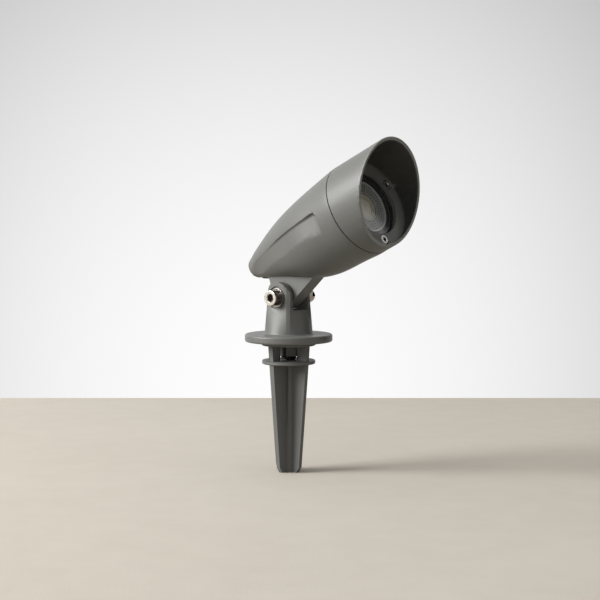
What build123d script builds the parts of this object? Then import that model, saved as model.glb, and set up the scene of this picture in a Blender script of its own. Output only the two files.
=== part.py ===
from build123d import *
import os
from math import asin, cos, radians, sin, sqrt

# Garden spike spotlight. Millimetres, +Z up, origin on the ground line at the
# foot of the spike. The head points along +X and tilts about an axis along Y.

# ---- head: place and outline -------------------------------------------------
head_tilt = 25.13             # head axis above horizontal, degrees
pivot_height = 116.2          # pivot axis above the spike's foot
seam_ahead = 80.7             # pivot to hood seam, along the head axis
axis_above = 26.5             # pivot to head axis, square to it
head_radius = 30.6            # housing and hood at the seam
tail_position = -103.3        # end of the housing, behind the seam
tail_radius = 5.75            # last section, before its edge is rounded
tail_rise = 2.45
tail_rounding = 5.0
# housing sections: distance behind the seam, loss of radius since the seam, rise
housing_sections = [
    (13.0, 0.85, -0.45),
    (26.0, 1.85, -1.05),
    (39.0, 3.3, -1.4),
    (52.0, 6.25, -0.65),
    (65.0, 10.55, 0.75),
    (78.0, 15.1, 1.5),
    (91.0, 19.85, 1.85),
]

# ---- flank scoops ------------------------------------------------------------
scoop_bottom = -16.0          # the tool runs on below the ridge to this height
scoop_clearance = 5.4         # and this far out past the housing
scoop_end_rounding = 4.0      # rounded front end, seen from the side
scoop_cove = 1.8              # cove between the floor and the upper step
# behind the seam; step height and depth in from the seam radius; ridge the same
scoop_sections = [
    (13.0, 4.8, 3.0, -7.5, 2.1),
    (27.0, 4.7, 3.8, -7.4, 2.7),
    (41.0, 4.4, 5.5, -7.2, 4.2),
    (55.0, 4.1, 8.7, -6.8, 8.2),
    (69.0, 3.8, 12.4, -6.4, 13.4),
    (83.0, 3.5, 16.9, -6.1, 19.2),
    (97.0, 3.2, 20.8, -5.8, 25.0),
]

# ---- hood --------------------------------------------------------------------
seam_gap = 0.3                # visible joint line between hood and housing
hood_wall = 2.1
hood_taper = 0.0088           # loss of radius per millimetre towards the mouth
mouth_clear = 0.2668          # lowest point of the rim, ahead of the flange
mouth_slope = 0.522           # how far the mouth leans forward per mm of height
rim_bevel = 0.5
flange_rear = 5.4
flange_front = 9.7
lip_rear = 7.3                # the lip in front of the glass is thinner

# ---- front stack: glass, gasket, lens ------------------------------------------
fit_gap = 0.05                # faces of neighbouring pieces
slip_gap = 0.2                # radial clearance of pieces dropped into a bore
glass_seat = 1.8              # overlap of the flange lip on the glass
glass_wall = 1.0              # housing wall between the glass pocket and the screws
glass_thickness = 3.0
glass_bevel = 0.3
gasket_thickness = 0.8
holder_rim = 2.9              # width of the black ring round the lens
lens_face = 3.2               # lens and holder front, ahead of the seam
lens_flange = 2.0
lens_flange_step = 1.3        # loss of radius behind the lens flange
lens_dish_inset = 6.5         # from the lens edge in to its dished centre
lens_dish_depth = 1.2
lens_rings = [(5.5, 4.5), (3.5, 2.5), (1.5, 0.7)]   # grooves, in from the lens edge
lens_ring_depth = 0.5
lens_tail_wall = 1.6          # wall round the hollow over the chip
lens_pocket_depth = 4.5
spigot_front = 5.3
spigot_root = -1.0            # the spigot starts this far inside the housing
seal_section = 0.7            # radius of the O-ring's section
seal_position = 2.6
seal_groove_width = 1.9

# ---- hood screws ---------------------------------------------------------------
hood_screw_count = 3
hood_screw_start = 180          # first one straight below the head axis
hood_screw_radius = 1.5
hood_screw_head_radius = 3.0
hood_screw_head = 2.4
hood_screw_length = 12.0
hood_screw_socket = 2.6       # across flats
hood_screw_socket_depth = 1.4
counterbore_radius = 3.35
counterbore_margin = 0.1      # between counterbore and hood wall
counterbore_depth = 2.6
thread_gap = 0.05

# ---- lamp module and driver ------------------------------------------------------
module_screw_start = 90         # the module's screws lie level with the head axis
shoulder = -19.0              # step in the bore that carries the lamp module
carrier_thickness = 3.0
pad_thickness = 0.5
lead_clearance = 1.8            # from the board's edge out to the leads
board_thickness = 1.6
chip_inset = 1.0                # chip's edge inside the lens tail
chip_base = 0.6
chip_dome = 0.5
chip_border = 1.2               # white border round the dome
chip_dome_slope = 30            # degrees in from upright
board_screw_inset = 2.7
board_screw_radius = 1.0
board_screw_head_radius = 1.9
board_screw_head = 1.1
board_screw_length = 4.0
carrier_screw_radius = 1.25
carrier_screw_head_radius = 2.0
carrier_screw_head = 1.4
carrier_screw_length = 8.0
ledge_step = 0.9              # ledge of the holder behind the lens flange
shoulder_width = 4.4
driver_bore_end = -54.2
case_wall = 1.2
driver_board_gap = 1.8          # from the cup's wall to the board's edge
driver_board_thickness = 1.6
transformer_length = 11.0
transformer_inset = 1.0         # from the board's edge
transformer_gap = 0.66256       # from its outer corner up to the cup's wall
capacitor_radius = 4.0
capacitor_length = 12.0
lead_radius = 0.6
lead_spread = 3.0             # half the distance between the two leads
lead_inset = 2.4                # lead's centre inside the driver's bore
lead_hole = 1.1
lead_bend = 2.0

# ---- tongue and pivot ------------------------------------------------------------
tongue_thickness = 11.4
lug_radius = 7.4
# tongue corners from the pivot: forward, up
tongue_front = (27.0, 14.63)    # where the front edge runs into the housing
tongue_root = (27.0, 17.3)      # root hidden inside the housing
tongue_rear_top = (-12.8, 13.3)
tongue_rear_low = (-11.1, 8.4)
pivot_screw_radius = 3.0
pivot_hole_gap = 0.08
pivot_head_radius = 5.0
pivot_head = 6.0
pivot_head_bevel = 0.4
pivot_socket = 5.0              # across flats
pivot_socket_depth = 3.0
pivot_thread_beyond = 7.6       # shank past the outer washer
washer_radius = 6.2
washer_thickness = 1.3
friction_radius = 7.0
friction_thickness = 1.5
nut_flats = 10.0
nut_hex = 5.4
nut_dome_radius = 4.7
nut_height = 12.0
nut_bore_depth = 8.2

# ---- cable inlet under the tail ---------------------------------------------------
inlet_behind = 18.2             # behind the pivot
inlet_above = 11.7              # grommet's face above the pivot, level with the skin
inlet_radius = 3.4
inlet_depth = 8.1
inlet_flange_radius = 4.1
inlet_flange = 1.4
passage_radius = 3.3
cable_bore = 2.5
grommet_length = 6.1

# ---- fork bracket -----------------------------------------------------------------
disc_radius = 29.0
disc_bottom = 88.0
disc_thickness = 3.9
disc_rounding = 1.3
stem_foot_radius = 16.0
foot_front_corner = 44          # where the foot's front arc ends, degrees off +X
foot_side_corner = 54           # where its side arc starts
stem_mid_drop = 5.9             # from the pivot down to the end of the flats
stem_mid_radius = 14.4
stem_top_radius = 13.2
ear_depth = 10.3                # half, front to back
ear_width = 11.7                # half, across the pivot
slot_depth = 8.2                # from the pivot down to the slot floor
spot_face = 10.9                # washer seats, from the middle plane
spot_face_radius = 7.5
stem_fillet = 1.0
stem_bore = 4.0

# ---- hollow stud ------------------------------------------------------------------
stud_radius = 5.0
stud_bore = 3.5
stud_bottom = 76.5
stud_below_slot = 9.0           # top of the stud below the slot floor
stud_nut_flats = 14.0
stud_nut = 4.0
tooth_washer_radius = 8.2
tooth_washer = 0.9
tooth_count = 12
tooth_width = 1.3
tooth_depth = 1.6

# ---- spike ------------------------------------------------------------------------
blade_thickness = 2.8
blade_foot_radius = 9.9
blade_growth = 0.0905           # gain of radius per millimetre of height
foot_radius = 7.8
foot_chamfer_height = 3.5
valley_fillet = 3.2
ring_radius = 17.7
ring_bottom = 72.1
ring_thickness = 2.4
plate_radius = 18.0
plate_thickness = 4.8
edge_bevel = 0.5                # outer edges of ring and plate
cage_radius = 9.7
swivel_gap = 0.05

# ---- derived places -----------------------------------------------------------------
tilt = radians(head_tilt)
head_axis = Vector(cos(tilt), 0, sin(tilt))
head_up = Vector(-sin(tilt), 0, cos(tilt))
pivot = Vector(0, 0, pivot_height)
seam_centre = pivot + head_axis * seam_ahead + head_up * axis_above
across = Vector(0, -1, 0)

seam = Plane(origin=seam_centre, x_dir=head_up, z_dir=head_axis)
side = Plane(origin=seam_centre, x_dir=head_axis, z_dir=across)
pivot_side = Plane(origin=pivot, x_dir=(1, 0, 0), z_dir=across)
pivot_section = Plane(origin=pivot, x_dir=(0, 1, 0), z_dir=(1, 0, 0))

hood_inner = head_radius - hood_wall
spigot_radius = hood_inner - fit_gap
seal_radius = hood_inner - seal_section - fit_gap
seal_groove_radius = seal_radius - seal_section - fit_gap
hood_screw_circle = hood_inner - counterbore_radius - counterbore_margin
pocket_radius = hood_screw_circle - hood_screw_radius - thread_gap - glass_wall
glass_radius = pocket_radius - slip_gap
aperture_radius = glass_radius - glass_seat
lens_bore = aperture_radius + 2 * fit_gap
gasket_inner = lens_bore + slip_gap
lens_radius = lens_bore - slip_gap - holder_rim
lens_skirt = lens_radius - lens_flange_step
lens_dish = lens_radius - lens_dish_inset
holder_ledge = lens_radius - ledge_step
driver_bore = lens_bore - shoulder_width
carrier_screw_circle = (lens_bore + driver_bore) / 2
lead_height = driver_bore - lead_inset
board_radius = lead_height - lead_clearance
board_screw_circle = board_radius - board_screw_inset
lens_tail_radius = board_screw_circle - board_screw_head_radius - slip_gap
lens_pocket = lens_tail_radius - lens_tail_wall
chip_radius = lens_tail_radius - chip_inset
chip_dome_radius = chip_radius - chip_border
case_radius = driver_bore - slip_gap
case_inner = case_radius - case_wall
driver_board_width = 2 * (case_inner - driver_board_gap)
transformer_width = driver_board_width / 2 - transformer_inset
transformer_height = sqrt(case_inner**2 - transformer_width**2) - transformer_gap

glass_front = lip_rear - fit_gap
glass_rear = glass_front - glass_thickness
pocket_floor = glass_rear - gasket_thickness
carrier_front = shoulder + carrier_thickness
pad_front = carrier_front + pad_thickness
board_front = pad_front + board_thickness
chip_front = board_front + chip_base + chip_dome
lens_tail = chip_front + slip_gap

slot_floor = pivot_height - slot_depth
stud_top = slot_floor - stud_below_slot
inlet_x = -inlet_behind
inlet_face = pivot_height + inlet_above
inlet_top = inlet_face + inlet_depth
disc_top = disc_bottom + disc_thickness
plate_top = disc_bottom - swivel_gap
plate_bottom = plate_top - plate_thickness
tooth_washer_bottom = plate_bottom - swivel_gap - tooth_washer
stud_nut_bottom = tooth_washer_bottom - stud_nut
ring_top = ring_bottom + ring_thickness
outer_washer = spot_face + washer_thickness
slot_half = tongue_thickness / 2 + friction_thickness + 2 * fit_gap


def ring_piece(plane, outer, inner, start, end):
    """Flat ring about the head axis between two positions along it."""
    with BuildPart() as ring:
        with BuildSketch(plane.offset(start)):
            Circle(outer)
            Circle(inner, mode=Mode.SUBTRACT)
        extrude(amount=end - start)
    return ring.part


# ==== housing ==========================================================================
# One cut of the scoop: a lofted wedge whose floor leans in under the upper step
# at the front and runs out level with the skin towards the tail.
scoop_reach = head_radius + scoop_clearance
with BuildPart() as scoop:
    for behind, step_up, step_in, ridge_up, ridge_in in scoop_sections:
        step_out = head_radius - step_in
        lean = (step_in - ridge_in) / (ridge_up - step_up)
        low_out = head_radius - ridge_in + lean * (scoop_bottom - ridge_up)
        with BuildSketch(seam.offset(-behind)):
            Polygon(
                (step_up, step_out),
                (step_up, scoop_reach),
                (scoop_bottom, scoop_reach),
                (scoop_bottom, low_out),
                align=None,
            )
    loft()
    front_face = scoop.faces().sort_by(Axis(seam_centre, head_axis))[-1]
    front_top = front_face.edges().sort_by(Axis(seam_centre, head_up))[-1]
    fillet(front_top, radius=scoop_end_rounding)
    # cove between floor and step: the innermost of the long upper edges
    long_edges = scoop.edges().filter_by(lambda edge: edge.length > 2 * scoop_reach)
    upper_edges = long_edges.sort_by(Axis(seam_centre, head_up))[-2:]
    fillet(upper_edges.sort_by(Axis.Y)[-1], radius=scoop_cove)

with BuildPart() as head_body:
    with BuildSketch(seam):
        Circle(head_radius)
    for behind, loss, rise in housing_sections:
        with BuildSketch(seam.offset(-behind)):
            with Locations((rise, 0)):
                Circle(head_radius - loss)
    with BuildSketch(seam.offset(tail_position)):
        with Locations((tail_rise, 0)):
            Circle(tail_radius)
    loft()
    tail_edge = head_body.faces().sort_by(Axis(seam_centre, head_axis))[0].edges()
    fillet(tail_edge, radius=tail_rounding)
    # flank scoops, one each side
    add(scoop.part, mode=Mode.SUBTRACT)
    add(scoop.part.mirror(Plane.XZ), mode=Mode.SUBTRACT)
    # pivot tongue: lug round the pivot, swept up into the belly
    with BuildSketch(pivot_side):
        Circle(lug_radius)
        with BuildLine():
            Polyline(tongue_front, tongue_root, tongue_rear_top, tongue_rear_low, close=True)
        make_face()
        make_hull()
    extrude(amount=tongue_thickness / 2, both=True)
    # spigot with the seal groove, and the stepped bore for glass, lens and driver
    with BuildSketch(side):
        with BuildLine():
            Polyline(
                (spigot_root, 0),
                (spigot_root, spigot_radius),
                (spigot_front, spigot_radius),
                (spigot_front, 0),
                close=True,
            )
        make_face()
    revolve(axis=Axis(seam_centre, head_axis))
    with BuildSketch(side):
        with Locations((seal_position, seal_groove_radius + hood_wall)):
            Rectangle(seal_groove_width, 2 * hood_wall)
    revolve(axis=Axis(seam_centre, head_axis), mode=Mode.SUBTRACT)
    with BuildSketch(side):
        with BuildLine():
            Polyline(
                (driver_bore_end, 0),
                (driver_bore_end, driver_bore),
                (shoulder, driver_bore),
                (shoulder, lens_bore),
                (pocket_floor, lens_bore),
                (pocket_floor, pocket_radius),
                (spigot_front, pocket_radius),
                (spigot_front, 0),
                close=True,
            )
        make_face()
    revolve(axis=Axis(seam_centre, head_axis), mode=Mode.SUBTRACT)
    # tapped holes for the hood and for the lamp module
    with BuildSketch(seam.offset(spigot_front)):
        with PolarLocations(hood_screw_circle, hood_screw_count, hood_screw_start):
            Circle(hood_screw_radius + thread_gap)
    extrude(amount=-hood_screw_length, mode=Mode.SUBTRACT)
    with BuildSketch(seam.offset(shoulder)):
        with PolarLocations(carrier_screw_circle, 2, module_screw_start):
            Circle(carrier_screw_radius + thread_gap)
    extrude(amount=-carrier_screw_length, mode=Mode.SUBTRACT)
    # pivot bore
    with BuildSketch(pivot_side):
        Circle(pivot_screw_radius + pivot_hole_gap)
    extrude(amount=tongue_thickness, both=True, mode=Mode.SUBTRACT)
    # cable inlet under the tail, and its passage forward to the driver
    with BuildSketch(Plane.XY.offset(inlet_top)):
        with Locations((inlet_x, 0)):
            Circle(inlet_radius)
    extrude(amount=-(inlet_top - inlet_face + inlet_flange), mode=Mode.SUBTRACT)
    with BuildSketch(Plane.XY.offset(inlet_face + inlet_flange)):
        with Locations((inlet_x, 0)):
            Circle(inlet_flange_radius)
    extrude(amount=-3 * inlet_flange, mode=Mode.SUBTRACT)
    passage_start = Vector(inlet_x, 0, inlet_top)
    with BuildSketch(Plane(origin=passage_start, x_dir=head_up, z_dir=head_axis)):
        Circle(passage_radius)
    passage_length = (seam_centre - passage_start).dot(head_axis) + driver_bore_end
    extrude(amount=passage_length + fit_gap, mode=Mode.SUBTRACT)
head_body.part.label = "head_body"

# ==== hood =============================================================================
# Turned ring with an inner flange, cut off at a slant to form the glare hood.
mouth_ahead = flange_front + mouth_clear + mouth_slope * head_radius
mouth_top = mouth_ahead + mouth_slope * head_radius
blank_front = mouth_top + hood_wall
outer_front = head_radius - hood_taper * blank_front
mouth_normal = head_axis - head_up * mouth_slope
with BuildPart() as hood:
    with BuildSketch(side):
        with BuildLine():
            Polyline(
                (seam_gap, hood_inner),
                (seam_gap, head_radius),
                (blank_front, outer_front),
                (blank_front, outer_front - hood_wall),
                (flange_front, hood_inner - hood_taper * flange_front),
                (flange_front, aperture_radius),
                (lip_rear, aperture_radius),
                (lip_rear, pocket_radius),
                (flange_rear, pocket_radius),
                (flange_rear, hood_inner),
                close=True,
            )
        make_face()
    revolve(axis=Axis(seam_centre, head_axis))
    mouth = Plane(origin=seam_centre + head_axis * mouth_ahead, z_dir=mouth_normal)
    split(bisect_by=mouth, keep=Keep.BOTTOM)
    flat_faces = hood.faces().filter_by(GeomType.PLANE)
    rim_face = flat_faces.sort_by(Axis(seam_centre, mouth_normal))[-1]
    chamfer(rim_face.edges(), length=rim_bevel)
    with Locations(seam.offset(flange_front)):
        with PolarLocations(hood_screw_circle, hood_screw_count, hood_screw_start):
            CounterBoreHole(
                radius=hood_screw_radius + thread_gap,
                counter_bore_radius=counterbore_radius,
                counter_bore_depth=counterbore_depth,
                depth=flange_front - flange_rear + fit_gap,
            )
hood.part.label = "hood"

with BuildPart() as hood_screws:
    head_seat = flange_front - counterbore_depth + fit_gap
    with BuildSketch(seam.offset(head_seat)):
        with PolarLocations(hood_screw_circle, hood_screw_count, hood_screw_start):
            Circle(hood_screw_head_radius)
    extrude(amount=hood_screw_head)
    with BuildSketch(seam.offset(head_seat)):
        with PolarLocations(hood_screw_circle, hood_screw_count, hood_screw_start):
            Circle(hood_screw_radius)
    extrude(amount=-hood_screw_length + fit_gap)
    with BuildSketch(seam.offset(head_seat + hood_screw_head)):
        with PolarLocations(hood_screw_circle, hood_screw_count, hood_screw_start):
            RegularPolygon(hood_screw_socket / 2, 6, major_radius=False)
    extrude(amount=-hood_screw_socket_depth, mode=Mode.SUBTRACT)
hood_screws.part.label = "hood_screws"

# ==== seal, glass and gasket ===============================================================
with BuildPart() as body_seal:
    with BuildSketch(side):
        with Locations((seal_position, seal_radius)):
            RegularPolygon(seal_section, 8)
    revolve(axis=Axis(seam_centre, head_axis))
body_seal.part.label = "body_seal"

with BuildPart() as front_glass:
    with BuildSketch(seam.offset(glass_rear)):
        Circle(glass_radius)
    extrude(amount=glass_thickness)
    chamfer(front_glass.edges().filter_by(GeomType.CIRCLE), length=glass_bevel)
front_glass.part.label = "front_glass"

glass_gasket = ring_piece(seam, glass_radius, gasket_inner, pocket_floor, glass_rear)
glass_gasket.label = "glass_gasket"

def cap_middle(apex, edge, radius):
    """Point half way up the arc of a spherical cap whose apex is on the axis."""
    rise = edge - apex
    sphere = (radius**2 + rise**2) / (2 * rise)
    half_angle = asin(radius / abs(sphere)) / 2
    return (apex + sphere * (1 - cos(half_angle)), abs(sphere) * sin(half_angle))


# ==== lens and holder ========================================================================
# Collimator: a flange, a cone narrowing to the chip, a dished middle and rings.
with BuildPart() as lens:
    with BuildSketch(side):
        with BuildLine():
            Polyline(
                (lens_face, lens_radius),
                (lens_face - lens_flange, lens_radius),
                (lens_face - lens_flange, lens_skirt),
            )
            Line((lens_face - lens_flange, lens_skirt), (lens_tail, lens_tail_radius))
            Line((lens_tail, lens_tail_radius), (lens_tail, lens_pocket))
            pocket_top = lens_tail + lens_pocket_depth
            pocket_middle = cap_middle(pocket_top, lens_tail, lens_pocket)
            Polyline((lens_tail, lens_pocket), pocket_middle, (pocket_top, 0))
            dish_floor = lens_face - lens_dish_depth
            Line((pocket_top, 0), (dish_floor, 0))
            dish_middle = cap_middle(dish_floor, lens_face, lens_dish)
            Polyline((dish_floor, 0), dish_middle, (lens_face, lens_dish))
            Line((lens_face, lens_dish), (lens_face, lens_radius))
        make_face()
    revolve(axis=Axis(seam_centre, head_axis))
    for outer_inset, inner_inset in lens_rings:
        with BuildSketch(seam.offset(lens_face)):
            Circle(lens_radius - inner_inset)
            Circle(lens_radius - outer_inset, mode=Mode.SUBTRACT)
        extrude(amount=-lens_ring_depth, mode=Mode.SUBTRACT)
lens.part.label = "lens"

with BuildPart() as lens_holder:
    with BuildSketch(side):
        with BuildLine():
            Polyline(
                (carrier_front + fit_gap, holder_ledge),
                (carrier_front + fit_gap, lens_bore - slip_gap),
                (lens_face, lens_bore - slip_gap),
                (lens_face, lens_radius + fit_gap),
                (lens_face - lens_flange - fit_gap, lens_radius + fit_gap),
                (lens_face - lens_flange - fit_gap, holder_ledge),
                close=True,
            )
        make_face()
    revolve(axis=Axis(seam_centre, head_axis))
    # notches that pass over the heads of the carrier screws
    with BuildSketch(seam.offset(carrier_front)):
        with PolarLocations(carrier_screw_circle, 2, module_screw_start):
            Circle(carrier_screw_head_radius + slip_gap)
    extrude(amount=carrier_screw_head + slip_gap, mode=Mode.SUBTRACT)
lens_holder.part.label = "lens_holder"

# ==== lamp module ==============================================================================
with BuildPart() as carrier_plate:
    with BuildSketch(seam.offset(shoulder)):
        Circle(lens_bore - slip_gap)
        with PolarLocations(carrier_screw_circle, 2, module_screw_start):
            Circle(carrier_screw_radius + thread_gap, mode=Mode.SUBTRACT)
        with Locations((lead_height, lead_spread), (lead_height, -lead_spread)):
            Circle(lead_hole, mode=Mode.SUBTRACT)
        with PolarLocations(board_screw_circle, 2, module_screw_start):
            Circle(board_screw_radius + thread_gap, mode=Mode.SUBTRACT)
    extrude(amount=carrier_thickness)
carrier_plate.part.label = "carrier_plate"

with BuildPart() as carrier_screws:
    with BuildSketch(seam.offset(carrier_front)):
        with PolarLocations(carrier_screw_circle, 2, module_screw_start):
            Circle(carrier_screw_head_radius)
    extrude(amount=carrier_screw_head)
    with BuildSketch(seam.offset(carrier_front)):
        with PolarLocations(carrier_screw_circle, 2, module_screw_start):
            Circle(carrier_screw_radius)
    extrude(amount=-carrier_screw_length)
carrier_screws.part.label = "carrier_screws"

with BuildPart() as thermal_pad:
    with BuildSketch(seam.offset(carrier_front)):
        Circle(board_radius)
        with PolarLocations(board_screw_circle, 2, module_screw_start):
            Circle(board_screw_radius + thread_gap, mode=Mode.SUBTRACT)
    extrude(amount=pad_thickness)
thermal_pad.part.label = "thermal_pad"

with BuildPart() as led_board:
    with BuildSketch(seam.offset(pad_front)):
        Circle(board_radius)
        with PolarLocations(board_screw_circle, 2, module_screw_start):
            Circle(board_screw_radius + thread_gap, mode=Mode.SUBTRACT)
    extrude(amount=board_thickness)
led_board.part.label = "led_board"

with BuildPart() as board_screws:
    with BuildSketch(seam.offset(board_front)):
        with PolarLocations(board_screw_circle, 2, module_screw_start):
            Circle(board_screw_head_radius)
    extrude(amount=board_screw_head)
    with BuildSketch(seam.offset(board_front)):
        with PolarLocations(board_screw_circle, 2, module_screw_start):
            Circle(board_screw_radius)
    extrude(amount=-board_screw_length)
board_screws.part.label = "board_screws"

with BuildPart() as led_chip:
    with BuildSketch(seam.offset(board_front)):
        Circle(chip_radius)
    extrude(amount=chip_base)
    with BuildSketch(seam.offset(board_front + chip_base)):
        Circle(chip_dome_radius)
    extrude(amount=chip_dome, taper=chip_dome_slope)
led_chip.part.label = "led_chip"

# ==== driver =====================================================================================
case_rear = driver_bore_end + fit_gap
case_front = shoulder - fit_gap
with BuildPart() as driver_case:
    with BuildSketch(seam.offset(case_rear)):
        Circle(case_radius)
    extrude(amount=case_front - case_rear)
    rim = driver_case.faces().sort_by(Axis(seam_centre, head_axis))[-1]
    offset(amount=-case_wall, openings=rim)
    # opening in the cup's floor for the supply cable
    with BuildSketch(seam.offset(case_rear)):
        Circle(passage_radius)
    extrude(amount=case_wall, mode=Mode.SUBTRACT)
driver_case.part.label = "driver_case"

board_rear = case_rear + case_wall + fit_gap
driver_board_front = case_front - capacitor_radius
with BuildPart() as driver_board:
    with BuildSketch(Plane(origin=seam_centre, x_dir=head_axis, z_dir=head_up)):
        with Locations(((board_rear + driver_board_front) / 2, 0)):
            Rectangle(driver_board_front - board_rear, driver_board_width)
    extrude(amount=-driver_board_thickness)
    with BuildSketch(Plane(origin=seam_centre, x_dir=head_axis, z_dir=head_up)):
        with Locations((board_rear + transformer_length, transformer_width / 2)):
            Rectangle(transformer_length, transformer_width)
    extrude(amount=transformer_height)
    with BuildSketch(Plane(origin=seam_centre, x_dir=head_axis, z_dir=head_up)):
        with Locations((driver_board_front - 2 * capacitor_radius, -transformer_width / 2)):
            Circle(capacitor_radius)
    extrude(amount=capacitor_length - capacitor_radius)
driver_board.part.label = "driver_board"

# Two leads from the driver board, through the carrier, to the lamp board.
with BuildPart() as led_leads:
    for offset_side in (lead_spread, -lead_spread):
        lead_plane = side.offset(offset_side)
        rest = board_front + lead_radius + fit_gap
        with BuildLine(lead_plane):
            FilletPolyline(
                (case_front - 2 * capacitor_radius, lead_height),
                (rest, lead_height),
                (rest, board_radius - lead_bend),
                radius=lead_bend - lead_radius,
            )
        lead_start = lead_plane.from_local_coords((case_front - 2 * capacitor_radius, lead_height))
        with BuildSketch(Plane(origin=lead_start, z_dir=head_axis)):
            Circle(lead_radius)
        sweep()
led_leads.part.label = "led_leads"

# ==== cable inlet ================================================================================
with BuildPart() as cable_grommet:
    with BuildSketch(Plane.XY.offset(inlet_face)):
        with Locations((inlet_x, 0)):
            Circle(inlet_flange_radius - fit_gap)
    extrude(amount=inlet_flange - fit_gap)
    with BuildSketch(Plane.XY.offset(inlet_face)):
        with Locations((inlet_x, 0)):
            Circle(inlet_radius - fit_gap)
    extrude(amount=grommet_length)
    with BuildSketch(Plane.XY.offset(inlet_face)):
        with Locations((inlet_x, 0)):
            Circle(cable_bore)
    extrude(amount=grommet_length, mode=Mode.SUBTRACT)
cable_grommet.part.label = "cable_grommet"

# ==== pivot hardware ===============================================================================
# Socket cap screw from the near side through ears and tongue into a dome nut.
with BuildPart() as pivot_screw:
    with BuildSketch(pivot_side.offset(outer_washer + fit_gap)):
        Circle(pivot_head_radius)
    extrude(amount=pivot_head)
    chamfer(pivot_screw.edges().sort_by(Axis.Y)[0], length=pivot_head_bevel)
    with BuildSketch(pivot_side.offset(outer_washer + fit_gap + pivot_head)):
        RegularPolygon(pivot_socket / 2, 6, major_radius=False)
    extrude(amount=-pivot_socket_depth, mode=Mode.SUBTRACT)
    with BuildSketch(pivot_side.offset(outer_washer + fit_gap)):
        Circle(pivot_screw_radius)
    extrude(amount=-(2 * outer_washer + pivot_thread_beyond))
pivot_screw.part.label = "pivot_screw"

with BuildPart() as pivot_washers:
    for face in (spot_face, -spot_face - washer_thickness):
        with BuildSketch(pivot_side.offset(face)):
            Circle(washer_radius)
            Circle(pivot_screw_radius + 2 * pivot_hole_gap, mode=Mode.SUBTRACT)
        extrude(amount=washer_thickness)
pivot_washers.part.label = "pivot_washers"

with BuildPart() as friction_washers:
    inner_face = tongue_thickness / 2 + fit_gap
    for face in (inner_face, -inner_face - friction_thickness):
        with BuildSketch(pivot_side.offset(face)):
            Circle(friction_radius)
            Circle(pivot_screw_radius + 2 * pivot_hole_gap, mode=Mode.SUBTRACT)
        extrude(amount=friction_thickness)
friction_washers.part.label = "friction_washers"

nut_seat = -(outer_washer + fit_gap)
with BuildPart() as dome_nut:
    with BuildSketch(pivot_side.offset(nut_seat)):
        RegularPolygon(nut_flats / 2, 6, major_radius=False)
    extrude(amount=-nut_hex)
    with BuildSketch(pivot_section):
        with BuildLine():
            dome_start = -nut_seat + nut_hex
            dome_end = -nut_seat + nut_height
            Polyline((dome_end, 0), (dome_start, 0), (dome_start, nut_dome_radius))
            Line((dome_start, nut_dome_radius), (dome_end - nut_dome_radius, nut_dome_radius))
            RadiusArc((dome_end - nut_dome_radius, nut_dome_radius), (dome_end, 0), nut_dome_radius)
        make_face()
    revolve(axis=Axis(pivot, (0, 1, 0)))
    with BuildSketch(pivot_side.offset(nut_seat)):
        Circle(pivot_screw_radius + thread_gap)
    extrude(amount=-nut_bore_depth, mode=Mode.SUBTRACT)
dome_nut.part.label = "dome_nut"


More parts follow.
